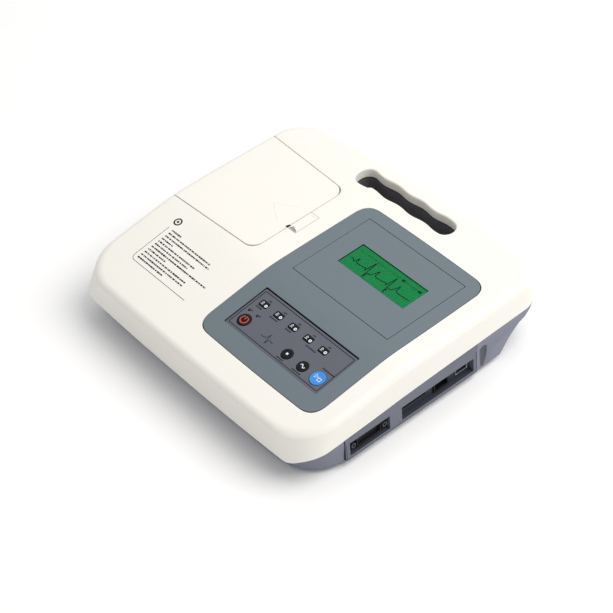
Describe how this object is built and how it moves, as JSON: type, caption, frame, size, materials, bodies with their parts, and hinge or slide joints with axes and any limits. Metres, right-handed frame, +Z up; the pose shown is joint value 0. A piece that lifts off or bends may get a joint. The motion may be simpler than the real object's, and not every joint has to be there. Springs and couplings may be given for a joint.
{
  "type": "electrocardiograph recorder",
  "caption": "Portable desktop electrocardiograph with a sloping keypad, small screen, hinged paper door over a thermal printer and a hand slot.",
  "frame": {"origin": "on the table under the middle of the case, at the level of the feet", "axes": "+X to the right of the person facing the keypad (the connector side), +Y away from them (the hand slot side), +Z up"},
  "size_m": [0.302, 0.2724, 0.0695],
  "materials": {
    "shell_white": "fine satin moulded plastic",
    "base_grey": "fine satin moulded plastic",
    "panel_slate": "smooth satin plastic",
    "keypad_grey": "satin overlay film",
    "key_black": "semi-gloss key caps",
    "key_blue": "semi-gloss key cap",
    "screen_green": "backlit display glass",
    "screen_clear": "clear window",
    "lamp_clear": "frosted light pipe",
    "steel": "bright steel",
    "head_aluminium": "extruded heat sink",
    "rubber": "matt rubber",
    "nylon": "natural nylon",
    "paper_white": "thermal paper",
    "card": "wound card",
    "board_green": "circuit board with solder mask",
    "board_tan": "power circuit board",
    "battery_wrap": "shrink wrap",
    "connector_black": "matt connector plastic",
    "brass": "plated brass"
  },
  "bodies": {
    "case": {"top_shell": "shell_white", "base_shell": "base_grey", "battery_cover": "base_grey", "side_plate": "base_grey", "control_panel": "panel_slate", "display_bezel": "panel_slate", "keypad_plate": "keypad_grey", "lcd_module": "screen_green", "display_lens": "screen_clear", "indicator_lamp_1": "lamp_clear", "indicator_lamp_2": "lamp_clear", "case_screw_1": "steel", "case_screw_2": "steel", "case_screw_3": "steel", "case_screw_4": "steel", "hinge_pin_front": "steel", "hinge_pin_back": "steel", "printer_frame": "steel", "drive_motor": "steel", "latch_spring": "steel", "head_spring": "steel", "jack_screw_1": "steel", "jack_screw_2": "steel", "usb_socket": "steel", "foot_1": "rubber", "foot_2": "rubber", "foot_3": "rubber", "foot_4": "rubber", "paper_tray": "nylon", "roll_holder_front": "nylon", "roll_holder_back": "nylon", "keypad_board": "board_green", "main_board": "board_green", "power_board": "board_tan", "battery_pack": "battery_wrap", "speaker": "connector_black", "lead_socket": "connector_black", "card_socket": "connector_black", "network_socket": "connector_black", "mains_inlet": "connector_black", "ground_post": "brass"},
    "door": {"paper_door": "shell_white"},
    "latch": {"door_latch": "shell_white"},
    "roll": {"paper_roll": "paper_white", "paper_core": "card"},
    "platen": {"platen_roller": "rubber", "platen_shaft": "steel", "platen_gear": "nylon"},
    "idler": {"idler_gear": "nylon"},
    "pinion": {"motor_pinion": "steel"},
    "head": {"print_head": "head_aluminium"},
    "power_key": {"power_key": "key_black"},
    "mode_key": {"mode_key": "key_black"},
    "filter_key": {"filter_key": "key_black"},
    "print_key": {"print_key": "key_blue"},
    "function_key_1": {"function_key_1": "key_black"},
    "function_key_2": {"function_key_2": "key_black"},
    "function_key_3": {"function_key_3": "key_black"},
    "function_key_4": {"function_key_4": "key_black"},
    "function_key_5": {"function_key_5": "key_black"}
  },
  "joints": [
    {"name": "door_hinge", "type": "hinge", "parent": "case", "child": "door", "pos_m": [-0.14664, 0.02926, 0.053], "axis": [0, -1, 0], "range_deg": [0, 95]},
    {"name": "latch_rock", "type": "hinge", "parent": "case", "child": "latch", "pos_m": [-0.03474, 0.02926, 0.0636], "axis": [0, -1, 0], "range_deg": [0, 10], "stiffness_Nm_per_rad": 0.05, "springref_deg": -11.46, "deforming": ["latch_spring"]},
    {"name": "platen_spin", "type": "hinge", "parent": "case", "child": "platen", "pos_m": [-0.13494, 0.02926, 0.046], "axis": [0, 1, 0], "continuous": true},
    {"name": "idler_spin", "type": "hinge", "parent": "case", "child": "idler", "pos_m": [-0.1211, 0.02926, 0.03925], "axis": [0, 1, 0], "continuous": true},
    {"name": "pinion_spin", "type": "hinge", "parent": "case", "child": "pinion", "pos_m": [-0.11538, 0.02926, 0.02848], "axis": [0, 1, 0], "continuous": true},
    {"name": "roll_spin", "type": "hinge", "parent": "case", "child": "roll", "pos_m": [-0.07544, 0.02926, 0.035], "axis": [0, 1, 0], "continuous": true},
    {"name": "head_lift", "type": "hinge", "parent": "case", "child": "head", "pos_m": [-0.11794, 0.02926, 0.0545], "axis": [0, 1, 0], "range_deg": [0, 6], "stiffness_Nm_per_rad": 0.3, "springref_deg": -5.73},
    {"name": "power_key_press", "type": "slide", "parent": "case", "child": "power_key", "axis": [0, 0.1474, -0.9891], "range_m": [0, 0.0008], "stiffness_N_per_m": 400, "springref_m": -0.0008},
    {"name": "mode_key_press", "type": "slide", "parent": "case", "child": "mode_key", "axis": [0, 0.1474, -0.9891], "range_m": [0, 0.0008], "stiffness_N_per_m": 400, "springref_m": -0.0008},
    {"name": "filter_key_press", "type": "slide", "parent": "case", "child": "filter_key", "axis": [0, 0.1474, -0.9891], "range_m": [0, 0.0008], "stiffness_N_per_m": 400, "springref_m": -0.0008},
    {"name": "print_key_press", "type": "slide", "parent": "case", "child": "print_key", "axis": [0, 0.1474, -0.9891], "range_m": [0, 0.0008], "stiffness_N_per_m": 400, "springref_m": -0.0008},
    {"name": "function_key_1_press", "type": "slide", "parent": "case", "child": "function_key_1", "axis": [0, 0.1474, -0.9891], "range_m": [0, 0.0008], "stiffness_N_per_m": 400, "springref_m": -0.0008},
    {"name": "function_key_2_press", "type": "slide", "parent": "case", "child": "function_key_2", "axis": [0, 0.1474, -0.9891], "range_m": [0, 0.0008], "stiffness_N_per_m": 400, "springref_m": -0.0008},
    {"name": "function_key_3_press", "type": "slide", "parent": "case", "child": "function_key_3", "axis": [0, 0.1474, -0.9891], "range_m": [0, 0.0008], "stiffness_N_per_m": 400, "springref_m": -0.0008},
    {"name": "function_key_4_press", "type": "slide", "parent": "case", "child": "function_key_4", "axis": [0, 0.1474, -0.9891], "range_m": [0, 0.0008], "stiffness_N_per_m": 400, "springref_m": -0.0008},
    {"name": "function_key_5_press", "type": "slide", "parent": "case", "child": "function_key_5", "axis": [0, 0.1474, -0.9891], "range_m": [0, 0.0008], "stiffness_N_per_m": 400, "springref_m": -0.0008}
  ],
  "couplings": [
    {"joint": "idler_spin", "follows": "platen_spin", "ratio": -0.9},
    {"joint": "pinion_spin", "follows": "platen_spin", "ratio": 1.8},
    {"joint": "roll_spin", "follows": "platen_spin", "ratio": 0.22727}
  ]
}
